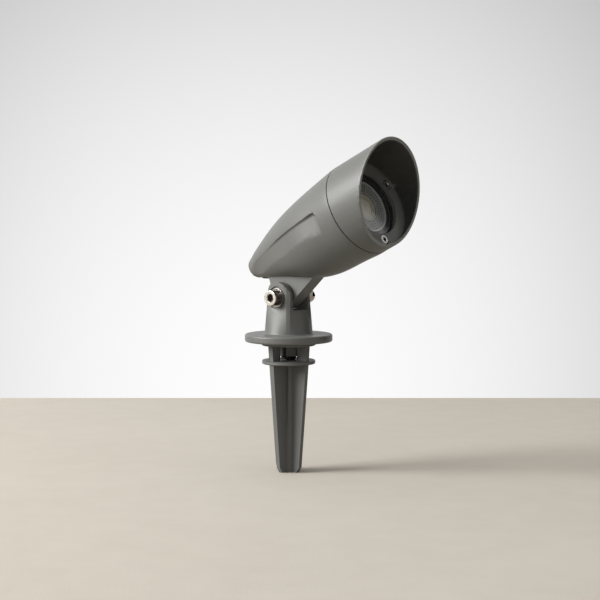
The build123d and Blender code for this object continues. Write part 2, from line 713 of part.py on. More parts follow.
# ==== fork bracket ==================================================================================
with BuildPart() as fork_bracket:
    for height, radius, flat in (
        (disc_top, stem_foot_radius, False),
        (pivot_height - stem_mid_drop, stem_mid_radius, True),
        (pivot_height + ear_depth, stem_top_radius, True),
    ):
        front_y = sqrt(radius**2 - ear_depth**2)
        side_x = sqrt(radius**2 - ear_width**2)
        if not flat:
            front_y = radius * sin(radians(foot_front_corner))
            side_x = radius * cos(radians(foot_side_corner))
        front_x = ear_depth if flat else sqrt(radius**2 - front_y**2)
        side_y = ear_width if flat else sqrt(radius**2 - side_x**2)
        bow_x = ear_depth if flat else radius
        bow_y = ear_width if flat else radius
        middle = radius / sqrt((front_x + side_x) ** 2 + (front_y + side_y) ** 2)
        with BuildSketch(Plane.XY.offset(height)):
            with BuildLine():
                for sx, sy in ((1, 1), (-1, 1), (-1, -1), (1, -1)):
                    near = (sx * front_x, sy * front_y)
                    far = (sx * side_x, sy * side_y)
                    bend = (middle * sx * (front_x + side_x), middle * sy * (front_y + side_y))
                    ThreePointArc(near, bend, far)
                for sx in (1, -1):
                    if flat:
                        Line((sx * front_x, front_y), (sx * front_x, -front_y))
                        Line((side_x, sx * side_y), (-side_x, sx * side_y))
                    else:
                        ThreePointArc((sx * front_x, front_y), (sx * bow_x, 0), (sx * front_x, -front_y))
                        ThreePointArc((side_x, sx * side_y), (0, sx * bow_y), (-side_x, sx * side_y))
            make_face()
    loft(ruled=True)
    # ears rounded about the pivot
    with BuildSketch(pivot_side):
        with Locations((0, ear_depth)):
            Rectangle(4 * ear_depth, 2 * ear_depth)
        Circle(ear_depth, mode=Mode.SUBTRACT)
    extrude(amount=2 * ear_width, both=True, mode=Mode.SUBTRACT)
    # ground disc
    with BuildSketch(Plane.XY.offset(disc_bottom)):
        Circle(disc_radius)
    extrude(amount=disc_thickness)
    fillet(
        fork_bracket.edges().filter_by(GeomType.CIRCLE).filter_by(
            lambda edge: edge.radius > disc_radius - fit_gap
        ),
        radius=disc_rounding,
    )
    # soft foot where the stem meets the disc
    foot_edges = fork_bracket.edges().filter_by(
        lambda edge: abs(edge.center().Z - disc_top) < fit_gap and edge.length < disc_radius
    )
    fillet(foot_edges, radius=stem_fillet)
    # slot for the tongue
    with BuildSketch(Plane.XY.offset(slot_floor)):
        Rectangle(4 * ear_width, 2 * slot_half)
    extrude(amount=pivot_height, mode=Mode.SUBTRACT)
    # pivot holes and washer seats
    with BuildSketch(pivot_side):
        Circle(pivot_screw_radius + pivot_hole_gap)
    extrude(amount=2 * ear_width, both=True, mode=Mode.SUBTRACT)
    for start, reach in ((spot_face, ear_width), (-spot_face, -ear_width)):
        with BuildSketch(pivot_side.offset(start)):
            Circle(spot_face_radius)
        extrude(amount=reach, mode=Mode.SUBTRACT)
    # cable bore and the tapped hole for the stud
    with BuildSketch(Plane.XY.offset(disc_bottom)):
        Circle(stem_bore)
    extrude(amount=slot_floor - disc_bottom, mode=Mode.SUBTRACT)
    with BuildSketch(Plane.XY.offset(disc_bottom)):
        Circle(stud_radius + thread_gap)
    extrude(amount=stud_top + fit_gap - disc_bottom, mode=Mode.SUBTRACT)
fork_bracket.part.label = "fork_bracket"

# ==== stud, washer and nut under the plate ============================================================
with BuildPart() as hollow_stud:
    with BuildSketch(Plane.XY.offset(stud_bottom)):
        Circle(stud_radius)
        Circle(stud_bore, mode=Mode.SUBTRACT)
    extrude(amount=stud_top - stud_bottom)
hollow_stud.part.label = "hollow_stud"

with BuildPart() as tooth_washer_part:
    with BuildSketch(Plane.XY.offset(tooth_washer_bottom)):
        Circle(tooth_washer_radius)
        Circle(stud_radius + slip_gap, mode=Mode.SUBTRACT)
        with PolarLocations(tooth_washer_radius, tooth_count):
            Rectangle(2 * tooth_depth, tooth_width, mode=Mode.SUBTRACT)
    extrude(amount=tooth_washer)
tooth_washer_part.part.label = "tooth_washer"

with BuildPart() as lock_nut:
    with BuildSketch(Plane.XY.offset(stud_nut_bottom)):
        RegularPolygon(stud_nut_flats / 2, 6, major_radius=False)
        Circle(stud_radius + thread_gap, mode=Mode.SUBTRACT)
    extrude(amount=stud_nut)
lock_nut.part.label = "lock_nut"

# ==== spike ==============================================================================================
# Four blades on a cross, a ring at ground level, an open cage and the top plate.
blade_top_radius = blade_foot_radius + blade_growth * plate_bottom
with BuildPart() as ground_spike:
    for start, radius, thickness in (
        (ring_bottom, ring_radius, ring_thickness),
        (plate_bottom, plate_radius, plate_thickness),
    ):
        with BuildSketch(Plane.XY.offset(start)):
            Circle(radius)
        extrude(amount=thickness)
    chamfer(ground_spike.edges(), length=edge_bevel)
    for plane in (Plane.XZ, Plane.YZ):
        with BuildSketch(plane):
            with BuildLine():
                Polyline(
                    (-foot_radius, 0),
                    (foot_radius, 0),
                    (blade_foot_radius + blade_growth * foot_chamfer_height, foot_chamfer_height),
                    (blade_top_radius, plate_bottom),
                    (-blade_top_radius, plate_bottom),
                    (-blade_foot_radius - blade_growth * foot_chamfer_height, foot_chamfer_height),
                    close=True,
                )
            make_face()
        extrude(amount=blade_thickness / 2, both=True)
    # rounded valleys where the blades meet
    upright_edges = ground_spike.edges().filter_by(Axis.Z)
    fillet(upright_edges.filter_by(lambda edge: edge.length > ring_bottom - fit_gap), radius=valley_fillet)
    # open cage between ring and plate, and the hole for the stud
    with BuildSketch(Plane.XY.offset(ring_top)):
        Circle(cage_radius)
    extrude(amount=plate_bottom - ring_top, mode=Mode.SUBTRACT)
    with BuildSketch(Plane.XY.offset(plate_bottom)):
        Circle(stud_radius + slip_gap)
    extrude(amount=plate_thickness, mode=Mode.SUBTRACT)
ground_spike.part.label = "ground_spike"

# ==== export ===============================================================================================
os.makedirs("parts", exist_ok=True)
pieces = [
    head_body.part,
    hood.part,
    hood_screws.part,
    body_seal.part,
    front_glass.part,
    glass_gasket,
    lens.part,
    lens_holder.part,
    carrier_plate.part,
    carrier_screws.part,
    thermal_pad.part,
    led_board.part,
    board_screws.part,
    led_chip.part,
    driver_case.part,
    driver_board.part,
    led_leads.part,
    cable_grommet.part,
    pivot_screw.part,
    pivot_washers.part,
    friction_washers.part,
    dome_nut.part,
    fork_bracket.part,
    hollow_stud.part,
    tooth_washer_part.part,
    lock_nut.part,
    ground_spike.part,
]
for piece in pieces:
    export_step(piece, f"parts/{piece.label}.step")
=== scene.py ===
import math

import bpy
from mathutils import Matrix, Vector


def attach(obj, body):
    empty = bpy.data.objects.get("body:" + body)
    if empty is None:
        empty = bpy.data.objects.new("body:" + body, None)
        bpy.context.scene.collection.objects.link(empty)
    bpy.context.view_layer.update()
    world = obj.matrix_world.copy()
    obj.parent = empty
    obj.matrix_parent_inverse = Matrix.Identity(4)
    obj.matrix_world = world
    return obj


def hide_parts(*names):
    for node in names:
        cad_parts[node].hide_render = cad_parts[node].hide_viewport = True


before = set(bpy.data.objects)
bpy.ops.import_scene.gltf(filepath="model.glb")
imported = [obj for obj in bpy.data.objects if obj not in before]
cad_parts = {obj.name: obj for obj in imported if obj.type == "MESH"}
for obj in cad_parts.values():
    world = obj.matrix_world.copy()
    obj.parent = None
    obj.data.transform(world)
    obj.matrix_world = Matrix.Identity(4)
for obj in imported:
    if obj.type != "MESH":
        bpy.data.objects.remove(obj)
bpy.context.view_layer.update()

MM = 0.001


# ==== Camera ======================================================================
# Long lens level with the lamp head, looking down by about four degrees at the
# front and the right side of the spotlight.
view_turn = math.radians(41.87)
view_tilt = math.radians(86.07)
away = Vector((-math.sin(view_turn), math.cos(view_turn), 0))
rightwards = Vector((math.cos(view_turn), math.sin(view_turn), 0))

camera_place = (0.6598, -0.7249, 0.1815)
bpy.ops.object.camera_add(location=camera_place, rotation=(view_tilt, 0, view_turn))
camera = bpy.context.object
camera.name = "camera"
camera.data.sensor_width = 36
camera.data.lens = 89.2
bpy.context.scene.camera = camera
bpy.context.scene.view_settings.view_transform = "Standard"


# ==== Floor =======================================================================
# Pale, slightly warm fine-grained slab that throws little light back up. It is seen
# from above only, so that the underside of the lamp can be looked at as well.
class Wire:
    """A socket inside a finish: sums and products on it add Math nodes."""

    def __init__(self, tree, socket):
        self.tree = tree
        self.socket = socket

    def add(self, kind, settings, sockets, outlet=0):
        """Add any node: its settings first, then the values or links of its sockets."""
        node = self.tree.nodes.new("ShaderNode" + kind)
        for name, value in settings.items():
            if name == "stops":
                first, *middle, last = value
                ends = node.color_ramp.elements
                ends[0].position, ends[0].color = first[0], (*first[1], 1)
                ends[1].position, ends[1].color = last[0], (*last[1], 1)
                for position, colour in middle:
                    ends.new(position).color = (*colour, 1)
            else:
                setattr(node, name, value)
        for name, value in sockets.items():
            if isinstance(value, Wire):
                self.tree.links.new(value.socket, node.inputs[name])
            else:
                node.inputs[name].default_value = value
        return Wire(self.tree, node.outputs[outlet])

    def math(self, operation, *values):
        return self.add("Math", {"operation": operation}, dict(enumerate(values)))

    def __add__(self, other):
        return self.math("ADD", self, other)

    def __rsub__(self, other):
        return self.math("SUBTRACT", other, self)

    def __mul__(self, other):
        return self.math("MULTIPLY", self, other)

    def zigzag(self):
        """Up from 0 to 0.5 and down again, once in each whole step of this value."""
        return self.math("PINGPONG", self, 0.5)

    def part(self, index):
        """One coordinate of a place: 0, 1 or 2 for x, y or z."""
        return self.add("SeparateXYZ", {}, {0: self}, outlet=index)

    def grain(self, scale, detail=2.0, stretch=(1, 1, 1)):
        """Soft noise at this many features to the metre."""
        place = self.add("VectorMath", {"operation": "MULTIPLY"}, {0: self, 1: stretch})
        return place.add("TexNoise", {}, {"Vector": place, "Scale": scale, "Detail": detail})

    def tint(self, low, high):
        """Run from one colour to another as this value goes from 0 to 1."""
        low, high = (end if isinstance(end, Wire) else (*end, 1) for end in (low, high))
        return self.add("Mix", {"data_type": "RGBA"}, {0: self, 6: low, 7: high}, outlet=2)

    def between(self, low, high):
        """0 below low, 1 above high, straight in between."""
        return self.add("MapRange", {}, {"Value": self, "From Min": low, "From Max": high})

    def feed(self, shader, socket):
        self.tree.links.new(self.socket, shader.inputs[socket])

    def emboss(self, shader, depth, strength):
        """Raise the surface by this many metres where the value is high."""
        bump = {"Height": self, "Distance": depth, "Strength": strength}
        self.add("Bump", {}, bump).feed(shader, "Normal")


def new_finish(name, constants):
    """A material, its shader with the constant sockets set, and Object coordinates."""
    finish = bpy.data.materials.new(name)
    finish.use_nodes = True
    tree = finish.node_tree
    shader = tree.nodes["Principled BSDF"]
    for socket, value in constants.items():
        shader.inputs[socket].default_value = value
    place = Wire(tree, tree.nodes.new("ShaderNodeTexCoord").outputs["Object"])
    return finish, shader, place


def one_sided(finish, front):
    """Show a stage surface from its front only."""
    behind = front.add("NewGeometry", {}, {}, outlet="Backfacing")
    nothing = front.add("BsdfTransparent", {}, {})
    shown = front.add("MixShader", {}, {0: behind, 1: front, 2: nothing})
    outlet = front.tree.nodes["Material Output"]
    shown.feed(outlet, "Surface")


floor_finish, floor_shader, place = new_finish(
    "pale_slab", {"Roughness": 0.9, "Specular IOR Level": 0.03}
)
clouds = place.grain(5.0, 3.0)
mottle = place.grain(45.0, 4.0)
speckle = place.grain(900.0, 2.0)
mix = clouds * 0.5 + mottle * 0.35 + speckle * 0.15
pale = mix.tint((0.462, 0.422, 0.361), (0.590, 0.547, 0.478))
deep = mix.tint((0.31, 0.28, 0.24), (0.39, 0.36, 0.31))
seen = place.add("LightPath", {}, {}, outlet="Is Camera Ray")
seen.tint(deep, pale).feed(floor_shader, "Base Color")
(speckle * 0.6 + mottle * 0.4).emboss(floor_shader, 0.0004, 0.5)
one_sided(floor_finish, Wire(floor_finish.node_tree, floor_shader.outputs[0]))

floor_width = 8
bpy.ops.mesh.primitive_plane_add(size=floor_width)
floor = bpy.context.object
floor.name = "floor"
floor.data.materials.append(floor_finish)


# ==== Backdrop ====================================================================
# Plain white wall that stands just behind the spotlight. It glows with painted light
# that falls off softly towards its top and its sides, and it gives no light of its own to the
# object.
wall_distance, wall_shift = 0.362, 0.0076
wall_width, wall_height = 3.0, 1.6
wall_finish, _, place = new_finish("white_wall", {})
sideways = place.part(0) + 0.03
height = place.part(1)
# painted light: the glow is brightest in the middle and falls off towards the top and the sides
brightness = (0.985 - height * height * 2.0) * (1.0 - sideways * sideways * 2.6)
glow = brightness.add("Emission", {}, {"Strength": brightness})
one_sided(wall_finish, glow)

bpy.ops.mesh.primitive_plane_add(size=1)
wall = bpy.context.object
wall.name = "backdrop"
wall.scale = (wall_width, wall_height, 1)
bpy.ops.object.transform_apply(location=False, rotation=False, scale=True)
wall.location = away * wall_distance + rightwards * wall_shift
wall.rotation_euler = (math.radians(90), 0, view_turn)
wall.data.materials.append(wall_finish)
wall.visible_shadow = False
wall.visible_diffuse = False


# ==== Studio light ================================================================
# One softbox on the left, 27 degrees up, a weak one overhead, and a white room that
# is bright behind the spotlight and dark on the camera's side.
lit_point = Vector((0.02, 0, 0.12))


def softbox(name, spot, size, power):
    """Square area light that is aimed at the lamp head."""
    bpy.ops.object.light_add(type="AREA", location=spot)
    lamp = bpy.context.object
    lamp.name = name
    lamp.data.shape = "SQUARE"
    lamp.data.size = size
    lamp.data.energy = power
    aim = lit_point - Vector(spot)
    lamp.rotation_euler = aim.to_track_quat("-Z", "Y").to_euler()


swing, climb, reach = math.radians(12), math.radians(27), 2.0
level = -rightwards * math.cos(swing) - away * math.sin(swing)
key_place = (level * math.cos(climb) + Vector((0, 0, math.sin(climb)))) * reach
softbox("key_light", key_place + Vector((0, 0, lit_point.z)), size=1.0, power=57.0)
softbox("top_light", (0, 0, 1.4), size=0.8, power=0.6)

world = bpy.data.worlds.new("room")
bpy.context.scene.world = world
world.use_nodes = True
room = world.node_tree
background = room.nodes["Background"]
background.inputs["Color"].default_value = (1, 1, 1, 1)
ray = room.nodes.new("ShaderNodeLightPath")
straight = Wire(room, ray.outputs["Is Camera Ray"])
mirrored = Wire(room, ray.outputs["Is Glossy Ray"])
through = Wire(room, ray.outputs["Is Transmission Ray"])
heading = Wire(room, room.nodes.new("ShaderNodeTexCoord").outputs["Generated"])
bright_side = tuple((away * 0.7 - rightwards * 0.6 + Vector((0, 0, 0.4))).normalized())
facing = heading.add(
    "VectorMath", {"operation": "DOT_PRODUCT"}, {0: heading, 1: bright_side}, outlet="Value"
)
wall_share = facing.between(-0.35, 0.75)
soft_room = wall_share * 0.16 + 0.035
mirrored_room = wall_share * 0.75 + 0.04
plain_room = 0.93
sharp = straight + through
strength = (
    sharp.math("MINIMUM", 1.0) * plain_room
    + mirrored * mirrored_room
    + (1.0 - (sharp + mirrored).math("MINIMUM", 1.0)) * soft_room
)
strength.feed(background, "Strength")


# ==== Ground spike ================================================================
# Stake moulded in grey glass-filled nylon: four blades on a cross, a ring at
# ground level and an open cage under the round top plate.
def fresh_piece(node, name):
    """A merged copy of a CAD solid, ready to be smoothed, in place of the loose triangles."""
    piece = bpy.data.objects.new(name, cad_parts[node].data.copy())
    bpy.context.scene.collection.objects.link(piece)
    choose(piece)
    bpy.ops.object.mode_set(mode="EDIT")
    bpy.ops.mesh.select_all(action="SELECT")
    bpy.ops.mesh.remove_doubles(threshold=2e-6)
    bpy.ops.mesh.dissolve_limited(angle_limit=math.radians(0.4))
    bpy.ops.object.mode_set(mode="OBJECT")
    return piece


def choose(piece):
    """Select this piece alone and make it the active one."""
    bpy.ops.object.select_all(action="DESELECT")
    piece.select_set(True)
    bpy.context.view_layer.objects.active = piece


def soften(piece, width, angle=35):
    """Break the sharp edges of a piece by a small round."""
    choose(piece)
    bevel = piece.modifiers.new("edges", "BEVEL")
    bevel.width = width
    bevel.segments = 2
    bevel.limit_method = "ANGLE"
    bevel.angle_limit = math.radians(angle)
    bevel.harden_normals = False
    bpy.ops.object.modifier_apply(modifier=bevel.name)


def smooth(piece, angle=32):
    """Shade curves smooth and keep flats flat."""
    choose(piece)
    bpy.ops.object.shade_smooth_by_angle(angle=math.radians(angle))
    weighted = piece.modifiers.new("flats", "WEIGHTED_NORMAL")
    weighted.keep_sharp = True
    weighted.weight = 80
    bpy.ops.object.modifier_apply(modifier=weighted.name)


def fit(piece, finish, body, node):
    """Give a piece its finish and let it stand for its CAD node on that node's body."""
    piece.data.materials.clear()
    piece.data.materials.append(finish)
    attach(piece, body)
    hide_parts(node)


def pick(piece, kind, wanted):
    """Open a piece in edit mode with only the faces, edges or corners chosen that are wanted."""
    choose(piece)
    bpy.ops.object.mode_set(mode="EDIT")
    bpy.ops.mesh.select_mode(type=kind)
    bpy.ops.mesh.select_all(action="DESELECT")
    bpy.ops.object.mode_set(mode="OBJECT")
    mesh = piece.data
    parts = {"FACE": mesh.polygons, "EDGE": mesh.edges, "VERT": mesh.vertices}[kind]
    for part in parts:
        part.select = wanted(part)
    bpy.ops.object.mode_set(mode="EDIT")


def shift_level(piece, levels, rise):
    """Move the corners that lie between two heights up or down, all in millimetres."""
    low, high = (height * MM for height in levels)
    pick(piece, "VERT", lambda corner: low < corner.co.z < high)
    bpy.ops.transform.translate(value=(0, 0, rise * MM))
    bpy.ops.object.mode_set(mode="OBJECT")


nylon, shader, place = new_finish("grey_nylon", {"Specular IOR Level": 0.45})
flow = place.grain(70.0, 3.0, (1, 1, 0.12))
pores = place.grain(1600.0, 2.0)
tone = flow * 0.7 + pores * 0.3
tone.tint((0.104, 0.105, 0.100), (0.170, 0.171, 0.163)).feed(shader, "Base Color")
(flow * 0.16 + 0.40).feed(shader, "Roughness")
(pores * 0.5 + flow * 0.5).emboss(shader, 0.00008, 0.5)

ground_spike = fresh_piece("ground_spike", "stake")
# the plate is 2.45 mm thick, under the thick disc of the bracket
disc_rest_drop, plate_rise = -1.2, 1.15
plate_top, plate_underside = (87.2, 88.2), (82.9, 83.8)
shift_level(ground_spike, plate_top, disc_rest_drop)
shift_level(ground_spike, plate_underside, plate_rise)
smooth(ground_spike)
fit(ground_spike, nylon, "spike", "ground_spike")


# ==== Hollow stud, lock nut and toothed washer =====================================
# Threaded steel tube down from the bracket, with a toothed washer and a hexagon nut
# under the spike's plate, all in zinc plate darkened as painted shade. They turn with the bracket.
def zinc_plate(name, low, high, thread_pitch=None):
    """Zinc-plated steel: finely scratched, or with a thread about the upright axis."""
    finish, shader, place = new_finish(name, {"Metallic": 1.0})
    cloud = place.grain(260.0, 4.0)
    scratch = place.grain(500.0, 2.0, (1, 1, 6))
    (cloud * 0.6 + scratch * 0.4).tint(low, high).feed(shader, "Base Color")
    (cloud * 0.25 + 0.28).feed(shader, "Roughness")
    if thread_pitch is None:
        scratch.emboss(shader, 0.00004, 0.4)
    else:
        across_x, across_y, upward = (place.part(index) for index in range(3))
        turn = across_y.math("ARCTAN2", across_y, across_x) * (1 / math.tau)
        (upward * (1 / thread_pitch) + turn).zigzag().emboss(shader, 0.0006, 1.0)
    return finish


# painted shade: the zinc plate of the stud, nut and toothed washer is drawn dark for the shade
# inside the cage
zinc_painted_shade = zinc_plate("zinc_steel_painted_shade", (0.05, 0.05, 0.048), (0.13, 0.13, 0.125))
threaded_zinc = zinc_plate(
    "zinc_thread_painted_shade", (0.04, 0.04, 0.038), (0.10, 0.10, 0.096), thread_pitch=1.0 * MM
)

# the nut and its washer follow the thin plate up, the nut is 6 mm high, and the
# stud ends further down
stud_end, nut_underside = (76.4, 76.6), (78.1, 78.3)
under_plate = (82.0, 83.3)
for node, finish, slot, shifts in (
    ("hollow_stud", threaded_zinc, "stud_steel", {stud_end: -1.7}),
    ("lock_nut", zinc_painted_shade, "lock_nut_steel", {nut_underside: -0.85, under_plate: plate_rise}),
    ("tooth_washer", zinc_painted_shade, "tooth_washer_steel", {under_plate: plate_rise}),
):
    piece = fresh_piece(node, node + "_plated")
    for levels, rise in shifts.items():
        shift_level(piece, levels, rise)
    soften(piece, 0.12 * MM)
    smooth(piece)
    fit(piece, finish, "bracket", node)


# ==== Fork bracket ================================================================
# Die-cast aluminium stem and round ground plate in one, in satin graphite powder
# coat. The coat is the same on the housing and on the hood.
def powder_coat(name):
    """Satin graphite coat with a slight orange peel."""
    light_grey, dark_grey = (0.172, 0.173, 0.163), (0.109, 0.110, 0.103)
    finish, shader, place = new_finish(name, {"Specular IOR Level": 0.5})
    cloud = place.grain(32.0, 3.0)
    peel = place.grain(1100.0, 2.0)
    flake = place.grain(5200.0, 1.0)
    colour = (cloud * 0.45 + peel * 0.25 + flake * 0.3).tint(dark_grey, light_grey)
    colour.feed(shader, "Base Color")
    (cloud * 0.10 + flake * 0.08 + 0.36).feed(shader, "Roughness")
    (peel * 0.7 + flake * 0.3).emboss(shader, 0.00006, 0.5)
    return finish, shader, place, colour


graphite = powder_coat("graphite_powder_coat")[0]
fork_bracket = fresh_piece("fork_bracket", "bracket_casting")
# the ground plate is 5.1 mm thick and rests on the spike's plate
disc_underside = (87.9, 89.5)
shift_level(fork_bracket, disc_underside, disc_rest_drop)
smooth(fork_bracket, 12)
fit(fork_bracket, graphite, "bracket", "fork_bracket")


# ==== Pivot: cap screw, washers, friction discs and dome nut =========================
# Stainless M6 socket cap screw through both ears and the tongue into a dome nut,
# with flat washers outside and black nylon discs on each side of the tongue.
pivot = Vector((0, 0, 116.2)) * MM
pivot_reach = Vector((0, 12.25 * MM, 0))


def along(place, origin, axis):
    """How far a point lies along an axis from its origin."""
    centre = place.add("VectorMath", {"operation": "SUBTRACT"}, {0: place, 1: tuple(origin)})
    return place.add(
        "VectorMath", {"operation": "DOT_PRODUCT"}, {0: centre, 1: tuple(axis)}, outlet="Value"
    )


def off_line(place, origin, axis):
    """How far a point lies from an axis, square to it."""
    centre = place.add("VectorMath", {"operation": "SUBTRACT"}, {0: place, 1: tuple(origin)})
    square = place.add("VectorMath", {"operation": "CROSS_PRODUCT"}, {0: centre, 1: tuple(axis)})
    return place.add("VectorMath", {"operation": "LENGTH"}, {0: square}, outlet="Value")


def tool_marks(radius, scale):
    """Fine rings left by the turning tool."""
    inputs = {"W": radius, "Scale": scale, "Detail": 2.0}
    return radius.add("TexNoise", {"noise_dimensions": "1D"}, inputs)


def turned_steel(name, origin, axis, low, high, bright_from=-1.0):
    """Stainless steel turned about an axis. Short of bright_from along it, the steel is darkened
    as painted shade.
    """
    finish, shader, place = new_finish(name, {"Metallic": 1.0})
    tarnish = place.grain(180.0, 3.0)
    rings = tool_marks(off_line(place, origin, axis), 6000.0)
    steel = (tarnish * 0.7 + rings * 0.3).tint(low, high)
    # painted shade: a darker copy of the same steel
    steel_in_painted_shade = tarnish.tint((0.11, 0.096, 0.084), (0.27, 0.235, 0.205))
    blend = 0.08 * MM
    beyond_painted_shade = along(place, origin, axis).between(bright_from - blend, bright_from + blend)
    beyond_painted_shade.tint(steel_in_painted_shade, steel).feed(shader, "Base Color")
    (tarnish * 0.12 + rings * 0.06 + 0.12).feed(shader, "Roughness")
    rings.emboss(shader, 0.00003, 0.35)
    return finish


outside, inside = Vector((0, -1, 0)), Vector((0, 1, 0))
# The pivot screw's knurled side and socket, short of 17.55 mm out from the pivot, are darkened as
# painted shade.
screw_steel = turned_steel(
    "stainless_screw", pivot, outside, (0.74, 0.70, 0.65), (0.95, 0.92, 0.87), 17.55 * MM
)
nut_steel = turned_steel("stainless_nut", pivot, inside, (0.60, 0.57, 0.52), (0.82, 0.79, 0.74))
# The washers are a darker copy of the stainless steel as painted shade, and those on the
# screw-head side are darkened further by the same painted shade.
washers_shade_painted = turned_steel(
    "stainless_washers", pivot, inside, (0.26, 0.24, 0.22), (0.46, 0.43, 0.40)
)


def cut_out(piece, tool, operation="DIFFERENCE"):
    """Cut a piece by a tool and throw the tool away."""
    choose(piece)
    boolean = piece.modifiers.new("cut", "BOOLEAN")
    boolean.operation = operation
    boolean.object = tool
    bpy.ops.object.modifier_apply(modifier=boolean.name)
    bpy.data.objects.remove(tool)


def weld_on(piece, other):
    """Join another shell into a piece."""
    choose(piece)
    other.select_set(True)
    bpy.ops.object.join()


def upright_cylinder(sides, radius, depth, middle):
    """A new cylinder on the vertical axis, with its middle at this height."""
    bpy.ops.mesh.primitive_cylinder_add(
        vertices=sides, radius=radius, depth=depth, location=(0, 0, middle)
    )
    bpy.ops.object.transform_apply(location=True, rotation=True, scale=True)
    return bpy.context.object


def bevel_picked(width, segments):
    """Round or chamfer the edges of the picked faces and leave edit mode."""
    bpy.ops.mesh.bevel(offset=width, segments=segments, affect="EDGES")
    bpy.ops.object.mode_set(mode="OBJECT")


def set_down(piece, spot, turn):
    """Put a finished shape in its place, with the place in its mesh."""
    choose(piece)
    piece.location = spot
    piece.rotation_euler = turn
    bpy.ops.object.transform_apply(location=True, rotation=True, scale=True)


def cap_screw(
    name, head_radius, head_height, socket_flats, socket_depth, shank_radius, shank_length
):
    """Socket cap screw standing on its shank: seat at height 0, knurled head above."""
    sides = 72
    screw = upright_cylinder(sides, head_radius, head_height, head_height / 2)
    screw.name = name
    # the knurl ends below a plain band
    pick(screw, "FACE", lambda face: True)
    bpy.ops.mesh.bisect(plane_co=(0, 0, head_height * 0.8), plane_no=(0, 0, 1))
    bpy.ops.object.mode_set(mode="OBJECT")

    def in_groove(corner):
        angle = math.atan2(corner.co.y, corner.co.x) % math.tau
        return round(angle / math.tau * sides) % 2 == 0 and corner.co.z < head_height * 0.9

    pick(screw, "VERT", in_groove)
    groove_floor = 0.955
    bpy.ops.transform.resize(value=(groove_floor, groove_floor, 1), center_override=(0, 0, 0))
    bpy.ops.object.mode_set(mode="OBJECT")
    # broken top edge
    pick(screw, "FACE", lambda face: face.center.z > head_height * 0.99)
    bevel_picked(head_height * 0.07, 2)
    # hexagon socket with a lead-in
    hexagon = upright_cylinder(6, socket_flats / math.sqrt(3), 2 * socket_depth, head_height)
    cut_out(screw, hexagon)
    bpy.ops.mesh.primitive_cone_add(
        vertices=48,
        radius1=socket_flats * 0.48,
        radius2=socket_flats * 0.62,
        depth=socket_flats * 0.14,
        location=(0, 0, head_height - socket_flats * 0.069),
    )
    cut_out(screw, bpy.context.object)
    # shank with a pointed end
    sunk = 0.2 * MM
    shank = upright_cylinder(40, shank_radius, shank_length, sunk - shank_length / 2)
    pick(shank, "FACE", lambda face: face.center.z < 0.3 * MM - shank_length)
    bevel_picked(shank_radius * 0.25, 1)
    weld_on(screw, shank)
    smooth(screw, 28)
    return screw


pivot_screw = cap_screw(
    "pivot_cap_screw",
    head_radius=5.0 * MM,
    head_height=6.0 * MM,
    socket_flats=5.0 * MM,
    socket_depth=3.0 * MM,
    shank_radius=3.0 * MM,
    shank_length=31.8 * MM,
)
set_down(pivot_screw, pivot - pivot_reach, (math.radians(90), 0, 0))
fit(pivot_screw, screw_steel, "bracket", "pivot_screw")

# Hexagon with turned-off corners, and a dome on a short collar sunk into it.
nut_flats, nut_height, nut_corners = 10.0 * MM, 5.4 * MM, 5.76 * MM
dome_radius, dome_level, collar = 4.7 * MM, 7.3 * MM, 2.2 * MM
dome_nut = upright_cylinder(6, nut_flats / math.sqrt(3), nut_height, nut_height / 2)
dome_nut.name = "pivot_dome_nut"
turning = upright_cylinder(96, nut_corners, nut_height, nut_height / 2)
pick(turning, "FACE", lambda face: abs(face.normal.z) > 0.9)
bevel_picked(0.62 * MM, 1)
cut_out(dome_nut, turning, "INTERSECT")
bpy.ops.mesh.primitive_uv_sphere_add(
    segments=64, ring_count=32, radius=dome_radius, location=(0, 0, dome_level)
)
dome = bpy.context.object
bpy.ops.object.transform_apply(location=True, rotation=True, scale=True)
pick(dome, "FACE", lambda face: True)
bpy.ops.mesh.bisect(plane_co=(0, 0, dome_level), plane_no=(0, 0, 1), clear_inner=True)
bpy.ops.object.mode_set(mode="OBJECT")


def at_dome_level(edge):
    ends = (dome.data.vertices[index].co for index in edge.vertices)
    return all(abs(end.z - dome_level) < 1e-6 for end in ends)


pick(dome, "EDGE", at_dome_level)
bpy.ops.mesh.extrude_region_move(TRANSFORM_OT_translate={"value": (0, 0, -collar)})
bpy.ops.mesh.edge_face_add()
bpy.ops.object.mode_set(mode="OBJECT")
weld_on(dome_nut, dome)
smooth(dome_nut, 25)
set_down(dome_nut, pivot + pivot_reach, (math.radians(-90), math.radians(11), 0))
fit(dome_nut, nut_steel, "bracket", "dome_nut")

pivot_washers = fresh_piece("pivot_washers", "flat_washers")
soften(pivot_washers, 0.18 * MM)
smooth(pivot_washers)
fit(pivot_washers, washers_shade_painted, "bracket", "pivot_washers")

black_nylon, shader, place = new_finish("black_nylon", {"Specular IOR Level": 0.45})
cloud = place.grain(240.0, 3.0)
cloud.tint((0.010, 0.010, 0.011), (0.026, 0.026, 0.027)).feed(shader, "Base Color")
(cloud * 0.2 + 0.38).feed(shader, "Roughness")
cloud.emboss(shader, 0.00005, 0.4)
friction_discs = fresh_piece("friction_washers", "friction_discs")
smooth(friction_discs)
fit(friction_discs, black_nylon, "bracket", "friction_washers")


# ==== Lamp housing ================================================================
# Bullet-shaped die casting with a scoop in each flank and the pivot tongue under
# its belly, powder coated as the bracket is.
tilt = math.radians(25.13)
head_axis = Vector((math.cos(tilt), 0, math.sin(tilt)))
head_up = Vector((-math.sin(tilt), 0, math.cos(tilt)))
across = Vector((0, -1, 0))
seam = pivot + head_axis * 80.7 * MM + head_up * 26.5 * MM


def ahead(point):
    """How far a point lies ahead of the hood seam, along the head."""
    return (point - seam).dot(head_axis)


def outward(point):
    """How far a point lies from the head's axis."""
    return (point - seam - head_axis * ahead(point)).length


head_body = fresh_piece("head_body", "lamp_housing")
